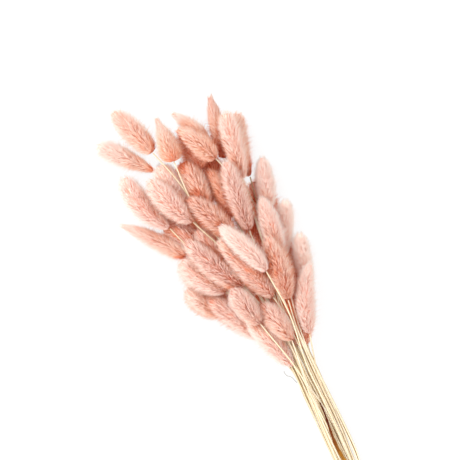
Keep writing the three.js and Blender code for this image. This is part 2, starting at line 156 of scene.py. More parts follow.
def surface(
    material: Material, relief: tuple[Socket, float, float] | None = None, **sockets: object
) -> None:
    """Finishes a material: a bump where there is a relief, the Principled shader and the output.

    Args:
        material: the material to finish.
        relief: its height, and the bump's strength and distance in metres.
        sockets: socket names with spaces as underscores; a socket is linked, a value is set.
    """
    named = {name.replace("_", " "): value for name, value in sockets.items()}
    if relief:
        height, strength, distance = relief
        bump = add_node(
            material,
            "ShaderNodeBump",
            values={"Strength": strength, "Distance": distance},
            links={"Height": height},
        )
        named["Normal"] = bump.outputs["Normal"]
    links = {n: v for n, v in named.items() if isinstance(v, Socket)}
    values = {n: v for n, v in named.items() if n not in links}
    shader = add_node(material, "ShaderNodeBsdfPrincipled", values=values, links=links)
    add_node(material, "ShaderNodeOutputMaterial", links={"Surface": shader.outputs["BSDF"]})


def fibres_along(
    material: Material,
    place: bpy.types.Node,
    length: float,
    width: float,
    detail: float = 3.0,
    rough: float = 0.55,
) -> Socket:
    """Adds noise that is drawn out along the bunch, as the fibres of grass are.

    Args:
        material: the material.
        place: its Texture Coordinate node.
        length: how long a fibre is, in metres.
        width: how wide a fibre is, in metres.
        detail: how many finer noises are laid over the first.
        rough: how strong each of them is.

    Returns:
        The noise's output.
    """
    scaled = add_node(
        material,
        "ShaderNodeMapping",
        values={"Scale": (1 / length, 1 / width, 1 / width)},
        links={"Vector": place.outputs["Object"]},
    )
    noise = add_node(
        material,
        "ShaderNodeTexNoise",
        values={"Scale": 1.0, "Detail": detail, "Roughness": rough},
        links={"Vector": scaled.outputs["Vector"]},
    )
    return noise.outputs["Fac"]


@dataclass(frozen=True)
class DyedFur:
    """Fine grass down dyed pink: matt, pale at its points, with redder painted shade between heads.

    Each hair is coloured along its length by V. U runs from cool pale heads through peach ones to
    deep ones. A warm painted glow, the fur's colour given off as light, stands in for what the thin
    down passes on from hair to hair, which keeps its shadows rosy. Dry down has next to no gloss,
    so its dark roots stay red and not grey.
    """

    cool: tuple[str, ...] = ("#9E4A36", "#DDA08A", "#F3D4C8", "#FBF4ED")
    peach: tuple[str, ...] = ("#A83C1C", "#E4936A", "#F4CAAD", "#FBF1E5")
    # The deep colours serve deep dye and also the painted shade below and between heads.
    deep: tuple[str, ...] = ("#8A2204", "#DA5220", "#F28C55", "#FACCAA")
    stops: tuple[float, ...] = (0.02, 0.32, 0.62, 0.95)
    roughness: float = 0.9
    gloss: float = 0.08
    sheen: float = 0.04
    # Painted glow: a warm light that the fur gives off itself.
    painted_glow_tint: str = "#FF7E56"
    painted_glow_strength: float = 0.088
    peach_at: float = 0.5

    def material(self) -> Material:
        """Builds the fur from its map alone, so that every hair keeps its own colour.

        Returns:
            The material.
        """
        fur = new_material("dyed_grass_down")
        place = add_node(fur, "ShaderNodeUVMap", {"uv_map": COLOUR_MAP})
        axes = add_node(fur, "ShaderNodeSeparateXYZ", links={"Vector": place.outputs["UV"]})
        ramps = []
        for colours in (self.cool, self.peach, self.deep):
            ramp = add_node(fur, "ShaderNodeValToRGB", links={"Fac": axes.outputs["Y"]})
            set_ramp(ramp, list(zip(self.stops, colours)))
            ramps.append(ramp.outputs["Color"])
        dyed = ramps[0]
        spans = ((0.0, self.peach_at, ramps[1]), (self.peach_at, 1.0, ramps[2]))
        for start, end, deeper in spans:
            share = add_node(
                fur,
                "ShaderNodeMapRange",
                values={"From Min": start, "From Max": end},
                links={"Value": axes.outputs["X"]},
            )
            both = {0: share.outputs["Result"], 6: dyed, 7: deeper}
            dyed = add_node(fur, "ShaderNodeMix", {"data_type": "RGBA"}, links=both).outputs[2]
        # Painted glow: the dyed colour, tinted warm, is given off as light so that shadows stay
        # rosy.
        painted_glow = add_node(
            fur,
            "ShaderNodeMix",
            {"data_type": "RGBA", "blend_type": "MULTIPLY"},
            {0: 1.0, 7: linear(self.painted_glow_tint)},
            {6: dyed},
        )
        surface(
            fur,
            Base_Color=dyed,
            Roughness=self.roughness,
            Specular_IOR_Level=self.gloss,
            Sheen_Weight=self.sheen,
            Emission_Color=painted_glow.outputs[2],
            Emission_Strength=self.painted_glow_strength,
        )
        return fur


@dataclass(frozen=True)
class Straw:
    """Dry grass straw: smooth, slightly waxy, with fine fibres along it, browner lengths and
    painted shade.

    A pale painted glow, given off by the straw itself, stands in for what the hollow walls let
    through, so the stems look bleached.
    """

    pale: str = "#E6DECF"
    common: str = "#D8CAAC"
    # Brown serves brown straw and also the painted shade on low stems and stem sides.
    brown: str = "#A3834A"
    between_fibres: str = "#E8DCC2"
    # Painted glow: a pale light that the straw gives off itself.
    painted_glow_tint: str = "#FFE2BC"
    painted_glow_strength: float = 0.1
    fibre_long: float = 90 * MM
    fibre_wide: float = 0.4 * MM
    fibre_deep: float = 0.1 * MM
    changes_along: float = 9.0
    changes_between: float = 8.0
    patchiness: float = 0.5
    patch_detail: float = 2.0
    tone_stops: tuple[float, ...] = (0.4, 0.75, 1.0)
    fibre_stops: tuple[float, ...] = (0.35, 0.7)
    fibre_relief: float = 0.2
    roughness: float = 0.45

    def material(self) -> Material:
        """Builds straw with fibres drawn out along the bunch and its brownness and painted shade by
        U.

        Returns:
            The material.
        """
        straw = new_material("dry_grass_straw")
        place = add_node(straw, "ShaderNodeTexCoord")
        fibres = fibres_along(straw, place, self.fibre_long, self.fibre_wide)
        own = add_node(straw, "ShaderNodeUVMap", {"uv_map": COLOUR_MAP})
        axes = add_node(straw, "ShaderNodeSeparateXYZ", links={"Vector": own.outputs["UV"]})
        spread = add_node(
            straw,
            "ShaderNodeMapping",
            values={"Scale": (self.changes_between, self.changes_along, 1.0)},
            links={"Vector": own.outputs["UV"]},
        )
        patches = add_node(
            straw,
            "ShaderNodeTexNoise",
            values={"Scale": 1.0, "Detail": self.patch_detail},
            links={"Vector": spread.outputs["Vector"]},
        )
        browned = add_node(
            straw,
            "ShaderNodeMath",
            {"operation": "MULTIPLY_ADD"},
            {1: self.patchiness},
            {0: patches.outputs["Fac"], 2: axes.outputs["X"]},
        )
        tone = add_node(straw, "ShaderNodeValToRGB", links={"Fac": browned.outputs["Value"]})
        set_ramp(tone, list(zip(self.tone_stops, (self.pale, self.common, self.brown))))
        dark = add_node(straw, "ShaderNodeValToRGB", links={"Fac": fibres})
        set_ramp(dark, list(zip(self.fibre_stops, ("#FFFFFF", self.between_fibres))))
        colour = add_node(
            straw,
            "ShaderNodeMix",
            {"data_type": "RGBA", "blend_type": "MULTIPLY"},
            {0: 1.0},
            {6: tone.outputs["Color"], 7: dark.outputs["Color"]},
        )
        surface(
            straw,
            (fibres, self.fibre_relief, self.fibre_deep),
            Base_Color=colour.outputs[2],
            Roughness=self.roughness,
            # Painted glow: the straw gives off pale light, so the stems look bleached.
            Emission_Color=linear(self.painted_glow_tint),
            Emission_Strength=self.painted_glow_strength,
        )
        return straw


@dataclass(frozen=True)
class ElasticRubber:
    """Natural rubber band: tan, soft sheen, dusty."""

    colour: str = "#C7A06A"
    dusty: str = "#D9BC8E"
    grain: float = 0.6 * MM
    grain_deep: float = 0.1 * MM
    grain_relief: float = 0.2
    grain_detail: float = 4.0
    stops: tuple[float, ...] = (0.35, 0.7)
    roughness: float = 0.6

    def material(self) -> Material:
        """Builds the rubber with faint dust and calender marks.

        Returns:
            The material.
        """
        rubber = new_material("natural_rubber_band")
        place = add_node(rubber, "ShaderNodeTexCoord")
        dust = add_node(
            rubber,
            "ShaderNodeTexNoise",
            values={"Scale": 1 / self.grain, "Detail": self.grain_detail},
            links={"Vector": place.outputs["Object"]},
        )
        tone = add_node(rubber, "ShaderNodeValToRGB", links={"Fac": dust.outputs["Fac"]})
        set_ramp(tone, list(zip(self.stops, (self.colour, self.dusty))))
        relief = (dust.outputs["Fac"], self.grain_relief, self.grain_deep)
        surface(rubber, relief, Base_Color=tone.outputs["Color"], Roughness=self.roughness)
        return rubber


@dataclass(frozen=True)
class WitheredLeaf:
    """Withered leaf sheath: papery, ribbed along, red-brown at the point and tan lower down."""

    start: float
    end: float
    dark: str = "#4A1806"
    rust: str = "#6F3A0D"
    tan: str = "#9C6B24"
    rib_long: float = 40 * MM
    rib_wide: float = 0.5 * MM
    rib_deep: float = 0.2 * MM
    rib_contrast: float = 0.5
    rib_relief: float = 0.5
    stops: tuple[float, ...] = (0.3, 0.6, 0.95)
    roughness: float = 0.85
    gloss: float = 0.15

    def material(self) -> Material:
        """Builds the leaf, dark where it is near its point.

        Returns:
            The material.
        """
        leaf = new_material("withered_leaf_sheath")
        place = add_node(leaf, "ShaderNodeTexCoord")
        axes = add_node(leaf, "ShaderNodeSeparateXYZ", links={"Vector": place.outputs["Object"]})
        share = add_node(
            leaf,
            "ShaderNodeMapRange",
            values={"From Min": self.start, "From Max": self.end},
            links={"Value": axes.outputs["X"]},
        )
        ribs = fibres_along(leaf, place, self.rib_long, self.rib_wide)
        mixed = add_node(
            leaf,
            "ShaderNodeMath",
            {"operation": "MULTIPLY_ADD", "use_clamp": True},
            {1: self.rib_contrast},
            {0: ribs, 2: share.outputs["Result"]},
        )
        tone = add_node(leaf, "ShaderNodeValToRGB", links={"Fac": mixed.outputs["Value"]})
        set_ramp(tone, list(zip(self.stops, (self.tan, self.rust, self.dark))))
        surface(
            leaf,
            (ribs, self.rib_relief, self.rib_deep),
            Base_Color=tone.outputs["Color"],
            Roughness=self.roughness,
            Specular_IOR_Level=self.gloss,
        )
        return leaf


@dataclass(frozen=True)
class GreyFibre:
    """A weathered plant fibre: dull grey and dry, so that it reads against the white table."""

    colour: str = "#9E9C97"
    roughness: float = 0.8

    def material(self) -> Material:
        """Builds the fibre's plain grey.

        Returns:
            The material.
        """
        fibre = new_material("weathered_grey_fibre")
        surface(fibre, Base_Color=linear(self.colour), Roughness=self.roughness)
        return fibre


@dataclass(frozen=True)
class PaleFloor:
    """Opal light table: it throws back little light, and its own even glow keeps it white."""

    colour: str = "#5C5C5C"
    grain_colour: str = "#595959"
    grain: float = 2.5 * MM
    light: str = "#FFFFFF"
    glow: float = 0.87
    roughness: float = 0.9

    def material(self) -> Material:
        """Builds the floor with a grain too faint to see.

        Returns:
            The material.
        """
        opal = new_material("opal_light_table")
        place = add_node(opal, "ShaderNodeTexCoord")
        grain = add_node(
            opal,
            "ShaderNodeTexNoise",
            values={"Scale": 1 / self.grain},
            links={"Vector": place.outputs["Object"]},
        )
        tone = add_node(opal, "ShaderNodeValToRGB", links={"Fac": grain.outputs["Fac"]})
        set_ramp(tone, [(0.0, self.grain_colour), (1.0, self.colour)])
        surface(
            opal,
            Base_Color=tone.outputs["Color"],
            Roughness=self.roughness,
            Emission_Color=linear(self.light),
            Emission_Strength=self.glow,
        )
        return opal


def vertex_rows(mesh: bpy.types.Mesh, what: str = "co") -> Array:
    """Reads a value of every vertex of a mesh.

    Args:
        mesh: the mesh.
        what: the value's name: co for places, normal for normals.

    Returns:
        Rows of x, y and z.
    """
    values = np.empty(len(mesh.vertices) * 3)
    mesh.vertices.foreach_get(what, values)
    return values.reshape(-1, 3)


def node_points(name: str) -> tuple[Array, Array]:
    """Reads a CAD node's corners and triangles, with shared corners merged.

    Args:
        name: the node.

    Returns:
        Corners as rows of x, y and z, and triangles as rows of three corner numbers.
    """
    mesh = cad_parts[name].data
    mesh.calc_loop_triangles()
    corners = np.empty(len(mesh.loop_triangles) * 3, dtype=np.int64)
    mesh.loop_triangles.foreach_get("vertices", corners)
    merged, which = np.unique(np.round(vertex_rows(mesh), 6), axis=0, return_inverse=True)
    return merged, which.reshape(-1)[corners].reshape(-1, 3)


def unit(vectors: Array) -> Array:
    """Scales rows to length 1."""
    return vectors / np.maximum(np.linalg.norm(vectors, axis=-1, keepdims=True), TINY)


def smooth_line(points: Array, steps: int) -> Array:
    """Runs a smooth line through points.

    Args:
        points: the points, in order.
        steps: how many steps each stretch gets.

    Returns:
        The finer line, through all the points.
    """
    padded = np.concatenate([[2 * points[0] - points[1]], points, [2 * points[-1] - points[-2]]])
    line = []
    for i in range(len(points) - 1):
        a, b, c, d = padded[i:i + 4]
        square, cube = 2 * a - 5 * b + 4 * c - d, 3 * b - a - 3 * c + d
        for step in range(steps):
            t = step / steps
            line.append(0.5 * (2 * b + (c - a) * t + square * t**2 + cube * t**3))
    line.append(points[-1])
    return np.array(line)


def mesh_object(name: str, points: Array, triangles: Array) -> Piece:
    """Makes a mesh object from arrays.

    Args:
        name: the object's name.
        points: corners as rows of x, y and z.
        triangles: rows of three corner numbers.

    Returns:
        The object, in the scene.
    """
    mesh = bpy.data.meshes.new(name)
    mesh.vertices.add(len(points))
    mesh.vertices.foreach_set("co", points.astype(np.float32).ravel())
    mesh.loops.add(triangles.size)
    mesh.loops.foreach_set("vertex_index", triangles.astype(np.int32).ravel())
    mesh.polygons.add(len(triangles))
    mesh.polygons.foreach_set("loop_start", np.arange(0, triangles.size, 3, dtype=np.int32))
    mesh.update(calc_edges=True)
    made = bpy.data.objects.new(name, mesh)
    bpy.context.scene.collection.objects.link(made)
    return made


def only(piece: Piece) -> None:
    """Makes a piece the only selected and active object.

    Args:
        piece: the piece.
    """
    bpy.ops.object.select_all(action="DESELECT")
    piece.select_set(True)
    bpy.context.view_layer.objects.active = piece


def edit_all(piece: Piece, operator: Callable[..., set[str]], **options: object) -> None:
    """Runs an edit mode operator on the whole of a piece.

    Args:
        piece: the piece.
        operator: the operator from bpy.ops.mesh.
        options: what the operator is given.
    """
    only(piece)
    bpy.ops.object.mode_set(mode="EDIT")
    bpy.ops.mesh.select_all(action="SELECT")
    operator(**options)
    bpy.ops.object.mode_set(mode="OBJECT")


def round_stalk(name: str, line: Array, radius: Array, sides: int) -> Piece:
    """Draws a round stalk with closed ends as a curve, and makes it a mesh.

    Args:
        name: the object's name.
        line: points of its middle line.
        radius: its radius at each point, in metres.
        sides: how many sides half of its section has.

    Returns:
        The mesh object, in the scene.
    """
    curve = bpy.data.curves.new(f"{name}_route", "CURVE")
    curve.dimensions = "3D"
    curve.bevel_depth = 1.0
    curve.bevel_resolution = sides // 2
    curve.use_fill_caps = True
    curve.resolution_u = 1
    spline = curve.splines.new("POLY")
    spline.points.add(len(line) - 1)
    weighted = np.concatenate([line, np.ones((len(line), 1))], axis=1)
    spline.points.foreach_set("co", weighted.ravel())
    spline.points.foreach_set("radius", radius)
    stalk = bpy.data.objects.new(name, curve)
    bpy.context.scene.collection.objects.link(stalk)
    only(stalk)
    bpy.ops.object.convert(target="MESH")
    return bpy.context.active_object


def lay_in_map(mesh: bpy.types.Mesh, spots: Array) -> None:
    """Gives a mesh the one map that its colour is read from.

    Args:
        mesh: the mesh.
        spots: U and V for each vertex.
    """
    while mesh.uv_layers:
        mesh.uv_layers.remove(mesh.uv_layers[0])
    layer = mesh.uv_layers.new(name=COLOUR_MAP)
    corner = np.empty(len(mesh.loops), dtype=np.int32)
    mesh.loops.foreach_get("vertex_index", corner)
    layer.data.foreach_set("uv", spots[corner].ravel())


def settle_in(piece: Piece, finish: Material, slot: Slot, *nodes: str) -> None:
    """Gives a finished piece its finish and its body, and hides the CAD nodes that it stands for.

    Args:
        piece: the finished piece.
        finish: its material.
        slot: the record's material slot; not used.
        nodes: the CAD nodes that it replaces.
    """
    piece.data.materials.clear()
    piece.data.materials.append(finish)
    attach(piece, BODY)
    if nodes:
        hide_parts(*nodes)
    LOG.info("%s: %d faces", piece.name, len(piece.data.polygons))


class Dye(Enum):
    """Dye with painted shade and light on some heads: depth at tip and base, paleness of all and
    tip hairs.
    """

    COOL = (0.0, 0.25, 0.0, 0.16)
    DUSTY_PINK = (0.0, 0.2, 0.08, 0.18)
    DUSTY_ROSE = (0.0, 0.14, 0.15, 0.22)
    COOL_PALE = (0.0, 0.05, 0.2, 0.3)
    CREAM = (0.0, 0.04, 0.42, 0.3)
    PALE = (0.06, 0.1, 0.34, 0.2)
    # Partly bleached, partly painted light: heads in the shade of others are made paler.
    BLEACHED = (0.12, 0.3, 0.85, 0.2)
    # Painted shade on the tip.
    PALE_WITH_DUSKY_TIP = (0.1, 0.0, 0.44, -0.45)
    PALE_WITH_RED_BASE = (0.0, 0.75, 0.34, 0.16)
    PALE_WITH_SALMON_BASE = (0.06, 0.45, 0.12, 0.14)
    PINK_WITH_RED_BASE = (0.15, 0.85, 0.07, 0.0)
    PALE_PEACH = (0.14, 0.3, 0.24, 0.2)
    LIGHT_PEACH = (0.14, 0.3, 0.17, 0.2)
    SOFT_PEACH = (0.18, 0.4, 0.13, 0.16)
    ORANGE_AT_BASE = (0.2, 0.74, 0.13, 0.18)
    PEACH = (0.3, 0.52, 0.07, 0.18)
    # Painted shade: a peach head whose upper part lies in the shade of others.
    DUSKY = (0.22, 0.42, -0.03, 0.0)
    ORANGE = (0.3, 0.5, 0.14, 0.12)
    # Partly dye, partly painted shade of a head deep in the bunch.
    ORANGE_BROWN = (0.65, 0.98, 0.24, 0.22)
    SALMON = (0.42, 0.68, 0.42, 0.1)
    # Partly dye, partly painted shade of heads that lie under others.
    DEEP_WITH_PALE_BASE = (1.0, 0.2, 0.4, -0.3)
    # Painted shade: hidden heads deep in the bunch, dark so the gaps between heads read as shade.
    SHADED = (0.7, 0.85, 0.14, 0.05)

    def __init__(self, tip: float, base: float, paleness: float, pale_tip: float) -> None:
        """Names the dye's numbers.

        Args:
            tip: the dye's depth at the tip, from 0 for cool to 1 for deep.
            base: its depth at the base.
            paleness: how much paler all hairs are.
            pale_tip: how much paler still those at the tip are.
        """
        self.tip = tip
        self.base = base
        self.paleness = paleness
        self.pale_tip = pale_tip


@dataclass(frozen=True)
class Growth:
    """How a head has grown: how blunt its ends are, how far its hairs spread, its base's taper."""

    base_fullness: float = 0.42
    tip_fullness: float = 0.46
    spread: float = 1.12
    taper: float = 0.15


@dataclass
class HeadForm:
    """The spine and thickness of one head, as its CAD solid has them."""

    node: str
    growth: Growth
    girth_percentile: float = 97.0
    direction_step: float = 0.01
    spine_spots: tuple[float, float, int] = (0.05, 0.95, 9)
    base: Array = field(init=False)
    along: Array = field(init=False)
    length: float = field(init=False)
    half_width: float = field(init=False)
    sides: Array = field(init=False)
    bends: Array = field(init=False)

    def __post_init__(self) -> None:
        """Measures the solid: its poles, its bend and its greatest half width."""
        points, _ = node_points(self.node)
        middle = points.mean(axis=0)
        _, _, directions = np.linalg.svd(points - middle, full_matrices=False)
        run = directions[0] if directions[0][0] > 0 else -directions[0]
        reach = (points - middle) @ run
        self.base, tip = points[reach.argmin()], points[reach.argmax()]
        self.length = float(np.linalg.norm(tip - self.base))
        self.along = (tip - self.base) / self.length
        aside = unit(np.cross(UP, self.along))
        self.sides = np.stack([aside, np.cross(self.along, aside)])
        offset = points - self.base
        share = (offset @ self.along) / self.length
        across = offset @ self.sides.T
        self.bends, *_ = np.linalg.lstsq(self.bend_terms(share), across, rcond=None)
        rest = across - self.bend_terms(share) @ self.bends
        girth = np.linalg.norm(rest, axis=1)
        self.half_width = float(np.percentile(girth, self.girth_percentile))

    @staticmethod
    def bend_terms(share: Array) -> Array:
        """Curves that are zero at both ends of the head: an arch and an S."""
        arch = share * (1 - share)
        return np.stack([arch, arch * (2 * share - 1)], axis=-1)

    def spine(self, share: Array) -> Array:
        """Points of the spine at shares of its length, counted from the base."""
        swing = self.bend_terms(share) @ self.bends @ self.sides
        return self.base + share[..., None] * self.length * self.along + swing

    def radius(self, share: Array) -> Array:
        """The fur's half width.

        Args:
            share: shares of the length, from the base.

        Returns:
            The half width at each, in metres.
        """
        low, high = self.growth.base_fullness, self.growth.tip_fullness
        full = low / (low + high)
        inside = np.clip(share, 0.0, 1.0)
        outline = inside**low * (1 - inside) ** high
        return self.half_width * outline / (full**low * (1 - full) ** high)

    def outward(self, share: Array, angle: Array) -> Array:
        """Directions away from the spine.

        Args:
            share: shares of the length, from the base.
            angle: angles round the spine, from the side upwards.

        Returns:
            A row of length 1 for each.
        """
        step = self.direction_step
        tangent = unit(self.spine(share + step) - self.spine(share - step))
        aside = unit(np.cross(UP, tangent))
        over = np.cross(tangent, aside)
        return np.cos(angle)[..., None] * aside + np.sin(angle)[..., None] * over

    def middle(self) -> Array:
        """The middle of the head's length."""
        return self.base + 0.5 * self.length * self.along

    def gap_to(self, points: Array) -> tuple[Array, Array]:
        """Measures how points lie to this head.

        Args:
            points: the points, in metres.

        Returns:
            How far each point is from the head's surface, and how far it is below the spine.
        """
        share = np.linspace(*self.spine_spots)
        spine = self.spine(share)
        away = np.linalg.norm(points[:, None] - spine[None], axis=2) - self.radius(share)
        nearest = away.argmin(axis=1)
        return away.min(axis=1), spine[nearest, 2] - points[:, 2]

    def point(self, share: Array, angle: Array, radius: Array) -> Array:
        """Points round the spine at a given distance from it."""
        return self.spine(share) + radius[..., None] * self.outward(share, angle)


@dataclass(frozen=True)
class Fluff:
    """The sizes of a head's hairs and locks, and how much each of them varies.

    Heights are shares of the way from the dense body to the coat's outline.
    """

    in_lock: int = 4
    long: float = 7.6 * MM
    long_range: tuple[float, float] = (0.85, 1.1)
    least_forward: float = 0.4
    wide: float = 0.38 * MM
    wide_range: tuple[float, float] = (0.8, 1.25)
    loose_share: float = 0.42
    loose_wide: float = 0.55
    loose_spread: float = 2.2
    loose_height: float = 0.8
    loose_height_spread: float = 0.38
    loose_height_most: float = 1.2
    lock_root: float = 0.34 * MM
    lock_tip: float = 0.12 * MM
    lock_along_spread: float = 0.5 * MM
    lock_turn_spread: float = 0.06
    lock_sway: float = 0.9 * MM
    lock_height: float = 0.84
    lock_height_spread: float = 0.13
    hair_height_spread: float = 0.06
    tip_lead: float = 0.03
    root_range: tuple[float, float] = (0.012, 0.94)
    root_depth: float = 0.9
    coat_deep: float = 5.2 * MM
    least_coat: float = 2.2 * MM
    least_turning: float = 2 * MM
    crowd_at_ends: float = 0.8 * MM
    slimmest: float = 0.42
    base_run: float = 0.22
    short_run: float = 0.25
    short_at_base: float = 0.5


@dataclass(frozen=True)
class Tinting:
    """How a hair's place in the colour map follows from where it grows, and how much that varies.

    Depth is the dye's, from cool to deep. Level is how pale a hair is, from its root's colour up.
    Below the flanks and under other heads, depth is raised and level lowered as painted shade.
    """

    lock_shade: float = 0.1
    hair_shade: float = 0.36
    lock_dye: float = 0.06
    hair_dye: float = 0.08
    cooler_if_dark: float = 0.38
    base_fade: float = 1.8
    even_roots: float = 0.04
    even_tips: float = 0.36
    even_body: float = 0.14
    # Painted shade: how much deeper and darker the fur below the flanks is made.
    shade_hue_below: float = 0.35
    shade_dark_below: float = 0.35
    flank: float = 0.35
    droop_inside: float = 0.6
    # Painted shade where other heads lie close: its reach, and how much deeper and darker it makes
    # fur.
    occlusion_within: float = 9 * MM
    occlusion_under: float = 12 * MM
    occlusion_beside: float = 0.45
    near_reach: float = 20 * MM
    shade_hue_occluded: float = 0.9
    shade_dark_occluded: float = 0.54
    pale_spared: float = 1.1
    root_level: float = 0.22
    root_most: float = 0.7
    tip_range: tuple[float, float] = (0.3, 0.99)
    patch_half: float = 0.008
    patch_drop: float = 0.04
    body_level: float = 0.09
    body_pale: float = 0.6
    body_spread: float = 0.06
    body_share: float = 0.5
    body_range: tuple[float, float] = (0.02, 0.9)
    depth_range: tuple[float, float] = (0.01, 0.99)
    hair_depth_range: tuple[float, float] = (0.02, 0.98)


@dataclass
class FurryHead:
    """One flower head: a dense downy body under fine hairs that lean to the tip in small locks."""

    form: HeadForm
    dye: Dye
    seed: int
    others: list[HeadForm]
    hairs: int
    droop: float
    evenness: float
    fluff: Fluff = Fluff()
    tints: Tinting = Tinting()
    body_seed: int = 900
    body_segments: int = 22
    body_rings: int = 20
    body_from: float = 0.01
    body_run: float = 0.95
    body_roughness: float = 0.05
    pole_size: float = 1e-4
    length_samples: int = 400

    def build(self, fur: Material) -> None:
        """Makes the head's body and coat as one piece.

        Args:
            fur: the fur's material.
        """
        body = self.body()
        coat = self.coat()
        only(coat)
        body.select_set(True)
        bpy.ops.object.join()
        coat.name = f"{self.form.node}_fur"
        settle_in(coat, fur, Slot.FUR, self.form.node)

    def body_radius(self, share: Array) -> Array:
        """The dense body's half width under the hairs.

        Args:
            share: shares of the length, from the base.

        Returns:
            The half width at each, in metres.
        """
        outline = self.outline(share)
        deep = self.fluff.coat_deep * self.hair_share(share)
        return np.maximum(outline - deep, self.fluff.slimmest * outline)

    def inside(self, angle: Array) -> Array:
        """How far an angle faces into the bunch: from the flanks down, for a head with a droop."""
        # This share paints shade on the fur below the flanks.
        whole = min(self.droop / self.tints.droop_inside, 1)
        return np.clip(self.tints.flank - np.sin(angle), 0, 1) * whole

    def occlusion_shade(self, points: Array) -> Array:
        """How closely other heads lie on points of this one, where the fur gets painted shade.

        Args:
            points: the points, in metres.

        Returns:
            A share for each point: 0 lies open, 1 is shut in under another head.
        """
        tints = self.tints
        shut = np.zeros(len(points))
        for other in self.others:
            reach = (self.form.length + other.length) / 2 + tints.near_reach
            if np.linalg.norm(other.middle() - self.form.middle()) < reach:
                gap, below = other.gap_to(points)
                near = np.clip(1 - gap / tints.occlusion_within, 0, 1)
                under = np.clip(tints.occlusion_beside + below / tints.occlusion_under, 0, 1)
                shut = np.maximum(shut, near * under)
        return shut * min(max(1 - tints.pale_spared * self.dye.paleness, 0), 1)

    def sag(self, angle: Array) -> Array:
        """How much farther the coat hangs out below than above."""
        return 1 + self.droop * np.clip(-np.sin(angle), 0, 1)

    def hair_share(self, share: Array) -> Array:
        """How long the hairs are at shares of the length: shorter where the head starts."""
        short = self.fluff.short_at_base
        return short + (1 - short) * np.clip(share / self.fluff.short_run, 0, 1)

    def outline(self, share: Array) -> Array:
        """The coat's half width, drawn in a little at the base, where the hairs start.

        Args:
            share: shares of the length, from the base.

        Returns:
            The half width at each, in metres.
        """
        ahead = np.clip(1 - share / self.fluff.base_run, 0, 1)
        growth = self.form.growth
        return self.form.radius(share) * growth.spread * (1 - growth.taper * ahead**2)

    def depth_of_dye(self, share: Array) -> Array:
        """The dye's depth at shares of the length: its base's near the base."""
        near_base = (1 - np.clip(share, 0, 1)) ** self.tints.base_fade
        return self.dye.tip + (self.dye.base - self.dye.tip) * near_base

    def paleness(self, share: Array) -> Array:
        """How pale the hairs are at shares of the length: the tip's share counts near the tip."""
        return self.dye.paleness + self.dye.pale_tip * np.clip(share, 0, 1) ** 2

    def body(self) -> Piece:
        """Shapes a ball into the dense body that the hairs grow from, and colours it.

        Returns:
            The body's mesh object.
        """
        bpy.ops.object.select_all(action="DESELECT")
        bpy.ops.mesh.primitive_uv_sphere_add(
            segments=self.body_segments, ring_count=self.body_rings, radius=1.0
        )
        ball = bpy.context.active_object
        points = vertex_rows(ball.data)
        count = len(points)
        draws = np.random.default_rng(self.seed + self.body_seed)
        share = self.body_from + self.body_run * (points[:, 2] + 1) / 2
        angle = np.arctan2(points[:, 1], points[:, 0])
        pole = np.hypot(points[:, 0], points[:, 1]) < self.pole_size
        rough = 1 + self.body_roughness * draws.standard_normal(count)
        radius = np.where(pole, 0.0, self.body_radius(share) * rough * self.sag(angle))
        placed = self.form.point(share, angle, radius)
        placed[:, 2] = np.maximum(placed[:, 2], FLOOR_GAP)
        ball.data.vertices.foreach_set("co", placed.ravel())
        edit_all(ball, bpy.ops.mesh.quads_convert_to_tris)
        bpy.ops.object.shade_smooth()
        tints = self.tints
        depth = self.depth_of_dye(share) + tints.body_spread * draws.standard_normal(count)
        # Painted shade: the body is made deeper and darker below the flanks and under other heads.
        inside, occlusion_shade = self.inside(angle), self.occlusion_shade(placed)
        depth += tints.shade_hue_below * inside + tints.shade_hue_occluded * occlusion_shade
        level = tints.body_level + tints.body_pale * self.paleness(share).clip(0)
        level += tints.body_spread * draws.standard_normal(count)
        below = tints.body_share * tints.shade_dark_below
        shut = tints.body_share * tints.shade_dark_occluded
        level -= below * inside + shut * occlusion_shade
        level += tints.even_body * self.evenness
        depth, level = np.clip(depth, *tints.depth_range), np.clip(level, *tints.body_range)
        spots = np.stack([depth, level], axis=1)
        lay_in_map(ball.data, spots)
        return ball

    def lock_places(self, count: int) -> tuple[Array, Array]:
        """Spreads locks evenly over the coat, each a golden angle on from the last.

        Args:
            count: how many locks.

        Returns:
            The share of the length and the angle of each lock's point.
        """
        share = np.linspace(0, 1, self.length_samples)
        weight = np.cumsum(self.form.radius(share) + self.fluff.crowd_at_ends)
        weight /= weight[-1]
        even = (np.arange(count) + 0.5) / count
        return np.interp(even, weight, share) + self.fluff.tip_lead, np.arange(count) * GOLDEN_ANGLE

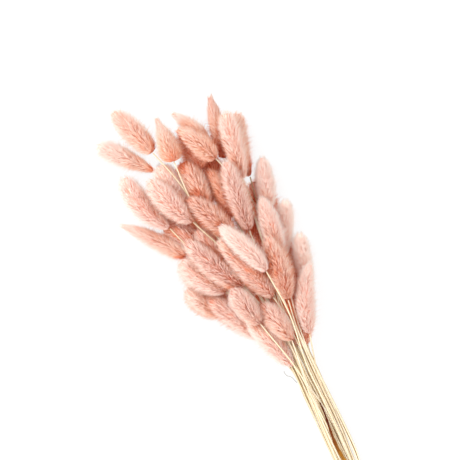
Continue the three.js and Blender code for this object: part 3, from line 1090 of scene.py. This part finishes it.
    def coat(self) -> Piece:
        """Makes every hair as a closed three-sided spike from the body to the coat's outline.

        Returns:
            The hairs' mesh object.
        """
        form, fluff, tints = self.form, self.fluff, self.tints
        draws = np.random.default_rng(self.seed)
        locks = self.hairs // fluff.in_lock
        share, angle = self.lock_places(locks)
        share = share + draws.normal(0, fluff.lock_along_spread / form.length, locks)
        angle = angle + draws.normal(0, fluff.lock_turn_spread, locks)
        lift = draws.normal(fluff.lock_height, fluff.lock_height_spread, locks)
        sway = draws.normal(0, fluff.lock_sway, locks)
        pick = np.repeat(np.arange(locks), fluff.in_lock)
        hairs = len(pick)
        loose = draws.random(hairs) > 1 - fluff.loose_share
        radius = np.maximum(form.radius(share[pick]), fluff.least_turning)
        tip_spread = np.where(loose, fluff.loose_spread * fluff.lock_root, fluff.lock_tip)
        sideways, lengthways = draws.standard_normal((2, hairs))
        tip_share = share[pick] + lengthways * tip_spread / form.length
        tip_angle = angle[pick] + (sideways * tip_spread + sway[pick]) / radius
        lying = lift[pick] + draws.normal(0, fluff.hair_height_spread, hairs)
        raised = draws.exponential(fluff.loose_height_spread, hairs)
        raised = raised.clip(0, fluff.loose_height_most)
        sag = self.sag(tip_angle)
        inner = self.body_radius(tip_share) * sag
        outer = np.maximum(self.outline(tip_share), fluff.least_coat) * sag
        tip_radius = inner + (outer - inner) * np.where(loose, fluff.loose_height + raised, lying)
        length = fluff.long * self.hair_share(tip_share) * draws.uniform(*fluff.long_range, hairs)
        least = (fluff.least_forward * length) ** 2
        forward = np.sqrt(np.maximum(length**2 - (tip_radius - inner) ** 2, least))
        root_share = np.clip(tip_share - forward / form.length, *fluff.root_range)
        root_angle = angle[pick] + sideways * fluff.lock_root / radius
        root_radius = self.body_radius(root_share) * fluff.root_depth * self.sag(root_angle)
        tips = form.point(np.clip(tip_share, 0, 1), tip_angle, tip_radius)
        tips += np.maximum(tip_share - 1, 0)[:, None] * form.length * form.along
        roots = form.point(root_share, root_angle, root_radius)
        points, triangles = self.spikes(roots, tips, loose, draws)
        points[:, 2] = np.maximum(points[:, 2], FLOOR_GAP)
        coat = mesh_object(f"{form.node}_coat", points, triangles)
        lock_tone = draws.normal(0, tints.lock_dye, locks)[pick]
        lock_level = draws.normal(self.paleness(share), tints.lock_shade, locks)[pick]
        hair_level = draws.normal(0, tints.hair_shade, hairs) * (1 - self.evenness)
        # Painted shade: hairs below the flanks and under other heads are made deeper and darker.
        inside, occlusion_shade = self.inside(tip_angle), self.occlusion_shade(tips)
        depth = self.depth_of_dye(root_share) + lock_tone + tints.cooler_if_dark * hair_level
        depth += tints.shade_hue_below * inside + tints.shade_hue_occluded * occlusion_shade
        level = lock_level + hair_level
        level -= tints.shade_dark_below * inside + tints.shade_dark_occluded * occlusion_shade
        self.colour_hairs(coat, depth, level, draws)
        return coat

    def spikes(
        self, roots: Array, tips: Array, loose: Array, draws: np.random.Generator
    ) -> tuple[Array, Array]:
        """Turns roots and tips to closed spikes.

        Args:
            roots: where each hair starts.
            tips: where it ends.
            loose: which hairs are the thin ones that stand out.
            draws: the head's random draws.

        Returns:
            Corners, four to a hair, and triangles, four to a hair.
        """
        hairs = len(roots)
        run = unit(tips - roots)
        flat = unit(np.cross(run, draws.standard_normal((hairs, 3))))
        over = np.cross(run, flat)
        width = np.where(loose, self.fluff.loose_wide, draws.uniform(*self.fluff.wide_range, hairs))
        corners = np.empty((hairs, 4, 3))
        for side in range(3):
            turn = 2 * math.pi * side / 3
            out = math.cos(turn) * flat + math.sin(turn) * over
            corners[:, side] = roots + (self.fluff.wide / 2 * width)[:, None] * out
        corners[:, 3] = tips
        one = np.array([[0, 1, 3], [1, 2, 3], [2, 0, 3], [0, 2, 1]])
        triangles = one[None] + 4 * np.arange(hairs)[:, None, None]
        return corners.reshape(-1, 3), triangles.reshape(-1, 3)

    def colour_hairs(
        self, coat: Piece, depth: Array, level: Array, draws: np.random.Generator
    ) -> None:
        """Lays each hair in the colour map: U is how deep its dye is, V runs from root to tip.

        Args:
            coat: the hairs.
            depth: the dye's depth for each hair.
            level: how much paler each hair is than most.
            draws: the head's random draws.
        """
        tints = self.tints
        depth = depth + draws.normal(0, tints.hair_dye, len(depth))
        own = np.clip(depth, *tints.hair_depth_range)
        half, drop = tints.patch_half, tints.patch_drop
        low = tints.root_level + tints.even_roots * self.evenness + level
        low = np.clip(low, drop, tints.root_most)
        high = np.clip(1.0 - tints.even_tips * self.evenness + level, *tints.tip_range)
        base = np.stack([own - half, low], axis=1)
        other = np.stack([own + half, low], axis=1)
        top = np.stack([own, high], axis=1)
        foot = np.stack([own, low - drop], axis=1)
        spots = np.stack([base, other, top] * 3 + [base, foot, other], axis=1)
        layer = coat.data.uv_layers.new(name=COLOUR_MAP)
        layer.data.foreach_set("uv", spots.reshape(-1, 2).ravel())


@dataclass
class StrawStems:
    """The stems of one CAD node, redrawn round and smooth along the routes of the solids."""

    node: str
    band_x: float
    seed: int
    clean_from: float = 30 * MM
    cut_from: float = 30 * MM
    cap_deep: float = 1.5 * MM
    least_corners: int = 3
    ring_gap: float = 8 * MM
    pressed_pitch: float = 1.05 * MM
    band_half: float = 7 * MM
    band_ease: float = 2 * MM
    foot_radius: float = 0.82 * MM
    neck_radius: float = 0.52 * MM
    thinning: float = 0.7
    knots: int = 2
    knot_range: tuple[float, float] = (0.25, 0.95)
    knot_swell: float = 0.35
    knot_long: float = 1.6 * MM
    steps: int = 7
    sides: int = 4
    smooth_under: float = 50.0
    seeds_in_node: int = 10
    map_start: float = 0.02
    map_run: float = 0.96
    tone_range: tuple[float, float] = (0.01, 0.99)
    own_brown: tuple[float, float] = (0.02, 0.42)
    # Painted shade: stems lying low, and the stems' sides, are made browner.
    shade_on_low_stems: float = 0.4
    shade_on_stem_sides: float = 0.45
    flank_turn: float = 1.5
    view_x: float = -60 * MM
    low_level: float = 6 * MM
    top_level: float = 22 * MM

    def routes(self) -> list[Array]:
        """Reads the stems' middle lines from the rings of corners of the solid.

        Returns:
            The points of each stem's line, from its head to its cut end.
        """
        points, triangles = node_points(self.node)
        keep = points[:, 0] > self.band_x + self.clean_from
        under = points[np.abs(points[:, 0] - self.band_x) < self.band_half + self.band_ease]
        middle = (under.min(axis=0) + under.max(axis=0)) / 2
        half = self.pressed_pitch / 2
        seats = [(y * half, z * half) for y in (-1, 1) for z in (-1, 1)]
        lines = [self.ring_middles(points[group]) for group in self.groups(points, triangles, keep)]
        order = self.match([line[-1][1:] - middle[1:] for line in lines], seats)
        made = []
        for line, seat in zip(lines, order):
            across, up = middle[1] + seat[0], middle[2] + seat[1]
            held = [[self.band_x + s * self.band_half, across, up] for s in (1, -1)]
            made.append(np.array([*line, *held, self.cut_end(points, seat)]))
        return made

    @staticmethod
    def groups(points: Array, triangles: Array, keep: Array) -> list[Array]:
        """Splits the kept corners to the tubes that they belong to.

        Args:
            points: all corners.
            triangles: all triangles.
            keep: which corners count.

        Returns:
            The corner numbers of each tube.
        """
        parent = np.arange(len(points))

        def top(i: int) -> int:
            """Finds a corner's group.

            Args:
                i: the corner's number.

            Returns:
                The number of the corner that stands for the group.
            """
            while parent[i] != i:
                parent[i] = parent[parent[i]]
                i = parent[i]
            return i

        for a, b, c in triangles:
            for p, q in ((a, b), (b, c), (c, a)):
                if keep[p] and keep[q]:
                    parent[top(p)] = top(q)
        roots = np.array([top(i) for i in range(len(points))])
        kept = np.flatnonzero(keep)
        return [kept[roots[kept] == root] for root in np.unique(roots[kept])]

    def ring_middles(self, points: Array) -> list[Array]:
        """Finds the middles of a tube's rings, which gaps along the tube tell apart.

        Args:
            points: the tube's corners.

        Returns:
            The middles, from the head down.
        """
        order = points[np.argsort(-points[:, 0])]
        breaks = np.flatnonzero(np.diff(-order[:, 0]) > self.ring_gap) + 1
        return [ring.mean(axis=0) for ring in np.split(order, breaks)]

    @staticmethod
    def match(starts: list[Array], seats: list[tuple[float, float]]) -> list[tuple[float, float]]:
        """Gives each stem the free seat nearest to its direction.

        Args:
            starts: where each stem comes from, counted from the clump's middle.
            seats: the places under the band.

        Returns:
            A seat for each stem.
        """
        free = list(seats)
        chosen = []
        for start in starts:
            best = max(free, key=lambda seat: seat[0] * start[0] + seat[1] * start[1])
            free.remove(best)
            chosen.append(best)
        return chosen

    def cut_end(self, points: Array, seat: tuple[float, float]) -> Array:
        """Finds the middle of the cut end on a seat's side of the clump.

        Args:
            points: the solid's corners.
            seat: the stem's place under the band.

        Returns:
            The cut end's middle.
        """
        low = points[points[:, 0] < self.band_x - self.cut_from]
        off = (low - low.mean(axis=0))[:, 1:] * seat
        side = low[(off > 0).all(axis=1)]
        if len(side) < self.least_corners:
            side = low
        end = side[:, 0].min()
        cap = side[side[:, 0] < end + self.cap_deep]
        return np.array([end, *cap[:, 1:].mean(axis=0)])

    def build(self, straw: Material) -> None:
        """Draws the node's stems as tapered round tubes in one piece.

        Args:
            straw: the straw's material.
        """
        stems = []
        for number, route in enumerate(self.routes()):
            draws = np.random.default_rng(self.seed * self.seeds_in_node + number)
            stem = self.draw_stem(f"{self.node}_{number}", route, draws)
            self.colour_stem(stem, route, draws)
            stems.append(stem)
        made = stems[0]
        only(made)
        for stem in stems:
            stem.select_set(True)
        if len(stems) > 1:
            bpy.ops.object.join()
        made.name = made.data.name = f"{self.node}_straw"
        bpy.ops.object.shade_smooth_by_angle(angle=math.radians(self.smooth_under))
        settle_in(made, straw, Slot.STRAW, self.node)

    def colour_stem(self, stem: Piece, route: Array, draws: np.random.Generator) -> None:
        """Lays a stem in the map: U is how brown it is, with painted shade added, V runs along it.

        Args:
            stem: the stem's mesh object.
            route: the stem's middle line.
            draws: the stem's random draws.
        """
        # Painted shade: stems that lie low at view_x, and sides that face away from above, get
        # browner.
        level = float(np.interp(self.view_x, route[::-1, 0], route[::-1, 2]))
        buried = 1 - min(max((level - self.low_level) / (self.top_level - self.low_level), 0), 1)
        brown = self.shade_on_low_stems * buried + draws.uniform(*self.own_brown)
        run = vertex_rows(stem.data)[:, 0]
        along = self.map_start + self.map_run * (run - run.min()) / (run.max() - run.min())
        facing = vertex_rows(stem.data, "normal")
        flank = (1 - np.clip(facing[:, 2], 0, 1)) ** self.flank_turn
        tone = np.clip(brown + self.shade_on_stem_sides * flank, *self.tone_range)
        lay_in_map(stem.data, np.stack([tone, along], axis=1))

    def draw_stem(self, name: str, route: Array, draws: np.random.Generator) -> Piece:
        """Draws one stem: thin at its head, thick at its foot, with knots.

        Args:
            name: the stem's name.
            route: the stem's middle line.
            draws: the stem's random draws.

        Returns:
            The stem's mesh object.
        """
        smooth = smooth_line(route, self.steps)
        length = np.concatenate([[0], np.cumsum(np.linalg.norm(np.diff(smooth, axis=0), axis=1))])
        share = length / length[-1]
        radius = self.neck_radius + (self.foot_radius - self.neck_radius) * share**self.thinning
        for _ in range(self.knots):
            off = (share - draws.uniform(*self.knot_range)) * length[-1]
            radius = radius * (1 + self.knot_swell * np.exp(-((off / self.knot_long) ** 2)))
        smooth[:, 2] = np.maximum(smooth[:, 2], radius + FLOOR_GAP)
        return round_stalk(name, smooth, radius, self.sides)


@dataclass
class ElasticBand:
    """An elastic band wound three times round the stems, its last stretch crossing the others."""

    node: str = "elastic_band"
    turns: int = 3
    pitch: float = 2.0 * MM
    thick: float = 1.1 * MM
    wide: float = 1.9 * MM
    steps_in_turn: int = 40
    first_turn: float = math.pi / 3
    crossing_part: int = 3
    crossing_lift: float = 0.9
    sides: int = 8
    corner_rounding: float = 0.55
    smooth_under: float = 40.0

    def build(self, rubber: Material) -> None:
        """Winds a flat strip along the oval of the CAD ring.

        Args:
            rubber: the band's material.
        """
        low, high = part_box(self.node)
        middle = (low + high) / 2
        half_y = (high.y - low.y) / 2 - self.thick / 2
        half_z = (high.z - low.z) / 2 - self.thick / 2
        count = self.turns * self.steps_in_turn
        crossing = self.steps_in_turn // self.crossing_part
        points = []
        for i in range(count):
            turn = 2 * math.pi * i / self.steps_in_turn + self.first_turn
            back = max(0.0, (i - (count - crossing)) / crossing)
            lift = math.sin(math.pi * back) * self.thick * self.crossing_lift
            forward = i / (count - crossing) if back == 0 else 1 - back
            x = middle.x + (forward - 0.5) * (self.turns - 1) * self.pitch
            y = middle.y + (half_y + lift) * math.cos(turn)
            z = middle.z + (half_z + lift) * math.sin(turn)
            points.append(Vector((x, y, z)))
        settle_in(self.strip(points, middle), rubber, Slot.RUBBER, self.node)

    def strip(self, points: list[Vector], middle: Vector) -> Piece:
        """Sweeps the band's rounded flat section along a closed route.

        Args:
            points: the route.
            middle: the middle of the bundle.

        Returns:
            The band's mesh object.
        """
        section = []
        for i in range(self.sides):
            turn = 2 * math.pi * i / self.sides
            across, out = (
                math.copysign(abs(part) ** self.corner_rounding, part) * size / 2
                for part, size in ((math.cos(turn), self.wide), (math.sin(turn), self.thick))
            )
            section.append((across, out))
        corners, faces = [], []
        count = len(points)
        for i, point in enumerate(points):
            run = (points[(i + 1) % count] - points[i - 1]).normalized()
            away = Vector((0, point.y - middle.y, point.z - middle.z))
            away = (away - run * away.dot(run)).normalized()
            side = run.cross(away).normalized()
            corners += [tuple(point + side * across + away * out) for across, out in section]
            here, there = i * self.sides, (i + 1) % count * self.sides
            for k in range(self.sides):
                after = (k + 1) % self.sides
                faces.append((here + k, here + after, there + after, there + k))
        mesh = bpy.data.meshes.new("elastic_band_turns")
        mesh.from_pydata(corners, [], faces)
        made = bpy.data.objects.new("elastic_band_turns", mesh)
        bpy.context.scene.collection.objects.link(made)
        edit_all(made, bpy.ops.mesh.normals_make_consistent, inside=False)
        bpy.ops.object.shade_smooth_by_angle(angle=math.radians(self.smooth_under))
        return made


@dataclass
class DryLeaf:
    """The withered leaf strip on the stems: thin, cupped along its middle and a little twisted.

    Waves are counted in radians over the leaf's length.
    """

    node: str = "dry_leaf"
    row_gap: float = 2 * MM
    steps: int = 5
    across: int = 8
    rolled: float = 0.72
    ragged: float = 0.12
    ragged_waves: float = 37.0
    cup: float = 0.5 * MM
    least_cup: float = 0.6
    cup_swing: float = 0.8
    cup_waves: float = 5.0
    cup_phase: float = 1.0
    twist: float = 0.25 * MM
    twist_waves: float = 9.0
    thick: float = 0.3 * MM
    smooth_under: float = 60.0

    def build(self) -> None:
        """Redraws the CAD strip as a thin cupped leaf."""
        points, _ = node_points(self.node)
        top = points[np.argsort(points[:, 0])]
        rows = np.split(top, np.flatnonzero(np.diff(top[:, 0]) > self.row_gap) + 1)
        middle = np.array([row.mean(axis=0) for row in rows])
        half = np.array([np.ptp(row[:, 1]) / 2 for row in rows])
        line = smooth_line(middle, self.steps)
        width = np.interp(line[:, 0], middle[:, 0], half)
        low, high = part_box(self.node)
        last = len(line) - 1
        bpy.ops.object.select_all(action="DESELECT")
        bpy.ops.mesh.primitive_grid_add(
            x_subdivisions=last, y_subdivisions=self.across, size=2.0, location=(0, 0, 0)
        )
        made = bpy.context.active_object
        made.name = made.data.name = "dry_leaf_blade"
        for corner in made.data.vertices:
            index = round((corner.co.x + 1) / 2 * last)
            side, share = corner.co.y, index / last
            torn = 1 + self.ragged * math.sin(self.ragged_waves * share) * abs(side)
            wave = math.sin(self.cup_waves * share + self.cup_phase)
            cupped = self.least_cup + self.cup_swing * wave
            twisted = self.twist * side * math.sin(self.twist_waves * share)
            corner.co.x = line[index, 0]
            corner.co.y = line[index, 1] + side * self.rolled * width[index] * torn
            corner.co.z = line[index, 2] + self.cup * side**2 * cupped + twisted
        thicken = made.modifiers.new("leaf_thickness", "SOLIDIFY")
        thicken.thickness = self.thick
        thicken.offset = 0
        only(made)
        bpy.ops.object.modifier_apply(modifier=thicken.name)
        bpy.ops.object.shade_smooth_by_angle(angle=math.radians(self.smooth_under))
        settle_in(made, WitheredLeaf(low.x, high.x).material(), Slot.LEAF, self.node)


@dataclass
class LooseFibre:
    """A thin dry fibre that curls off the side of the stems. Its route is in millimetres."""

    route: tuple[tuple[float, float, float], ...] = (
        (-53.2, 4.6, 0.0),
        (-50.2, 5.4, 1.2),
        (-47.4, 5.9, 2.0),
        (-45.0, 7.4, 2.2),
        (-43.6, 9.0, 2.6),
        (-40.4, 9.7, 3.4),
        (-38.6, 9.2, 4.2),
    )
    radius: float = 0.24 * MM
    rise: float = 0.4 * MM
    steps: int = 5
    sides: int = 4
    spots_on_edge: int = 12

    def build(self, grey: Material) -> None:
        """Draws the fibre from the stem under its foot.

        Args:
            grey: the fibre's material.
        """
        line = smooth_line(np.array(self.route) * MM, self.steps)
        line[:, 2] += self.foot_level(line[0]) + self.rise
        made = round_stalk("loose_fibre", line, np.full(len(line), self.radius), self.sides)
        bpy.ops.object.shade_smooth()
        settle_in(made, grey, Slot.STRAW)

    def foot_level(self, foot: Array) -> float:
        """Finds the height of the stem that lies nearest to the foot, seen from above.

        Args:
            foot: the place that the fibre starts from.

        Returns:
            The stem's height there, in metres.
        """
        best = (math.inf, 0.0)
        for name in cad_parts:
            if name.startswith("stems_"):
                points, triangles = node_points(name)
                edges = points[triangles]
                for share in np.linspace(0, 1, self.spots_on_edge):
                    for a, b in ((0, 1), (1, 2), (2, 0)):
                        spots = edges[:, a] * (1 - share) + edges[:, b] * share
                        gaps = np.hypot(*(spots[:, :2] - foot[:2]).T)
                        nearest = gaps.argmin()
                        best = min(best, (float(gaps[nearest]), float(spots[nearest, 2])))
        return best[1]


@dataclass
class Bunch:
    """The whole bunch: heads, stems, band, leaf and fibre. Heads go by their nodes' numbers."""

    dyes: dict[Dye, tuple[int, ...]] = field(default_factory=lambda: {
        Dye.COOL: (39,),
        Dye.DUSTY_PINK: (15, 27),
        Dye.DUSTY_ROSE: (10,),
        Dye.COOL_PALE: (11, 14),
        Dye.CREAM: (9, 33),
        Dye.PALE: (19, 21, 25, 38),
        Dye.BLEACHED: (16, 20, 23),
        Dye.PALE_WITH_DUSKY_TIP: (37,),
        Dye.PALE_WITH_RED_BASE: (2,),
        Dye.PALE_WITH_SALMON_BASE: (13, 40),
        Dye.PINK_WITH_RED_BASE: (6,),
        Dye.PALE_PEACH: (7, 18, 34, 35),
        Dye.LIGHT_PEACH: (4, 12, 17),
        Dye.SOFT_PEACH: (1,),
        Dye.ORANGE_AT_BASE: (3,),
        Dye.DUSKY: (31,),
        Dye.ORANGE: (22,),
        Dye.ORANGE_BROWN: (28,),
        Dye.SALMON: (36, 43),
        Dye.DEEP_WITH_PALE_BASE: (24, 41),
        Dye.SHADED: (29, 30, 42, 44, 45, 46),
    })
    growths: dict[Growth, tuple[int, ...]] = field(default_factory=lambda: {
        Growth(0.3, 0.95, 1.1, 0.0): (3,),
        Growth(0.8, 0.34, 1.1, 0.3): (2,),
        Growth(0.4, 0.42, 1.12, 0.0): (1,),
        Growth(0.42, 0.7, 1.1, 0.0): (4, 5, 6, 13),
        Growth(0.5, 0.34, 1.22, 0.15): (7, 9, 11, 20, 23, 26),
        Growth(0.5, 0.42, 1.25, 0.2): (8, 10, 12, 14, 16, 17, 35, 37, 38, 39, 40),
        Growth(0.42, 0.42, 1.6, 0.0): (18, 29, 30, 36, 41, 42, 43, 44, 45, 46),
    })
    evenness: dict[float, tuple[int, ...]] = field(default_factory=lambda: {
        0.6: (1, 2, 3, 4, 5, 6, 7, 8, 9, 10, 11, 13, 17, 19, 38),
        0.35: (14, 20, 21, 23, 25, 26, 37, 40),
    })
    droops: dict[float, tuple[int, ...]] = field(default_factory=lambda: {
        0.1: (1, 2, 3, 4, 9, 11, 13, 19, 20, 21, 23, 25, 38, 39, 40),
        1.0: (26, 27, 28, 29, 30, 31),
    })
    common_droop: float = 0.8
    hidden: tuple[int, ...] = (18, 35, 36, 42, 43, 44, 45, 46)
    full_coat: int = 4900
    thin_coat: int = 3400

    @staticmethod
    def by_head(groups: dict[object, tuple[int, ...]]) -> dict[int, object]:
        """Turns groups of head numbers to what each head has."""
        return {number: kind for kind, numbers in groups.items() for number in numbers}

    def build(self) -> None:
        """Builds every piece in order."""
        fur, straw = DyedFur().material(), Straw().material()
        low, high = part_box("elastic_band")
        dyes, growths = self.by_head(self.dyes), self.by_head(self.growths)
        evenness, droops = self.by_head(self.evenness), self.by_head(self.droops)
        names = sorted(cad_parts)
        heads = {int(name[-2:]): name for name in names if name.startswith("head_")}
        forms = {n: HeadForm(name, growths.get(n, Growth())) for n, name in heads.items()}
        for number, form in forms.items():
            others = [other for other in forms.values() if other is not form]
            hairs = self.thin_coat if number in self.hidden else self.full_coat
            droop, even = droops.get(number, self.common_droop), evenness.get(number, 0.0)
            dye = dyes.get(number, Dye.PEACH)
            FurryHead(form, dye, number, others, hairs, droop, even).build(fur)
        stems = [name for name in names if name.startswith("stems_")]
        for number, name in enumerate(stems):
            StrawStems(name, (low.x + high.x) / 2, number).build(straw)
        ElasticBand().build(ElasticRubber().material())
        DryLeaf().build()
        LooseFibre().build(GreyFibre().material())


@dataclass
class Studio:
    """A white floor, soft light and a camera that looks straight down on the bunch."""

    pixel: float = 0.85 * MM
    image: int = 460
    far_limit: float = 20.0
    middle_from_band: tuple[float, float] = (259.4 * MM, -15.06 * MM)
    heads_level: float = 25 * MM
    distance: float = 2.4
    sensor: float = 36.0
    roll: float = 60.0
    floor_size: float = 8.0
    surround: float = 1.5
    surround_colour: str = "#FFFFFF"
    key_watts: float = 34.0
    key_size: float = 1.2
    key_place: tuple[float, float, float] = (1.1, 0.9, 1.9)

    def build(self) -> None:
        """Sets the floor, the lights and the camera."""
        self.floor()
        self.light()
        self.camera()

    def floor(self) -> None:
        """Lays the white floor."""
        bpy.ops.object.select_all(action="DESELECT")
        bpy.ops.mesh.primitive_plane_add(size=self.floor_size, location=(0, 0, 0))
        floor = bpy.context.active_object
        floor.name = "floor"
        floor.data.materials.append(PaleFloor().material())

    def light(self) -> None:
        """Lights the bunch from all round, with a soft key from the upper left of the picture."""
        world = bpy.data.worlds.new("studio_surround")
        world.use_nodes = True
        sky = world.node_tree.nodes["Background"].inputs
        sky["Color"].default_value = linear(self.surround_colour)
        sky["Strength"].default_value = self.surround
        bpy.context.scene.world = world
        lamp = bpy.data.lights.new("key_light", "AREA")
        lamp.energy = self.key_watts
        lamp.size = self.key_size
        key = bpy.data.objects.new("key_light", lamp)
        key.location = Vector(self.key_place)
        key.rotation_euler = (-key.location).to_track_quat("-Z", "Y").to_euler()
        bpy.context.scene.collection.objects.link(key)

    def camera(self) -> None:
        """Places the camera above the heads, rolled so that the bunch lies as in the picture."""
        low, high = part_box("elastic_band")
        band = (low + high) / 2
        lens = bpy.data.cameras.new("overhead_camera")
        lens.sensor_width = self.sensor
        lens.lens = self.sensor * self.distance / (self.pixel * self.image)
        lens.clip_end = self.far_limit
        eye = bpy.data.objects.new("overhead_camera", lens)
        roll = math.radians(self.roll)
        right = Vector((-math.cos(roll), -math.sin(roll), 0))
        up = Vector((-right.y, right.x, 0))
        eye.rotation_euler = Matrix((right, up, Vector((0, 0, 1)))).transposed().to_euler()
        x, y = band.x + self.middle_from_band[0], band.y + self.middle_from_band[1]
        eye.location = (x, y, self.heads_level + self.distance)
        bpy.context.scene.collection.objects.link(eye)
        bpy.context.scene.camera = eye
        bpy.context.scene.view_settings.view_transform = "Standard"


def main() -> None:
    """Builds the bunch and its studio."""
    Bunch().build()
    Studio().build()


if __name__ == "__main__":
    main()
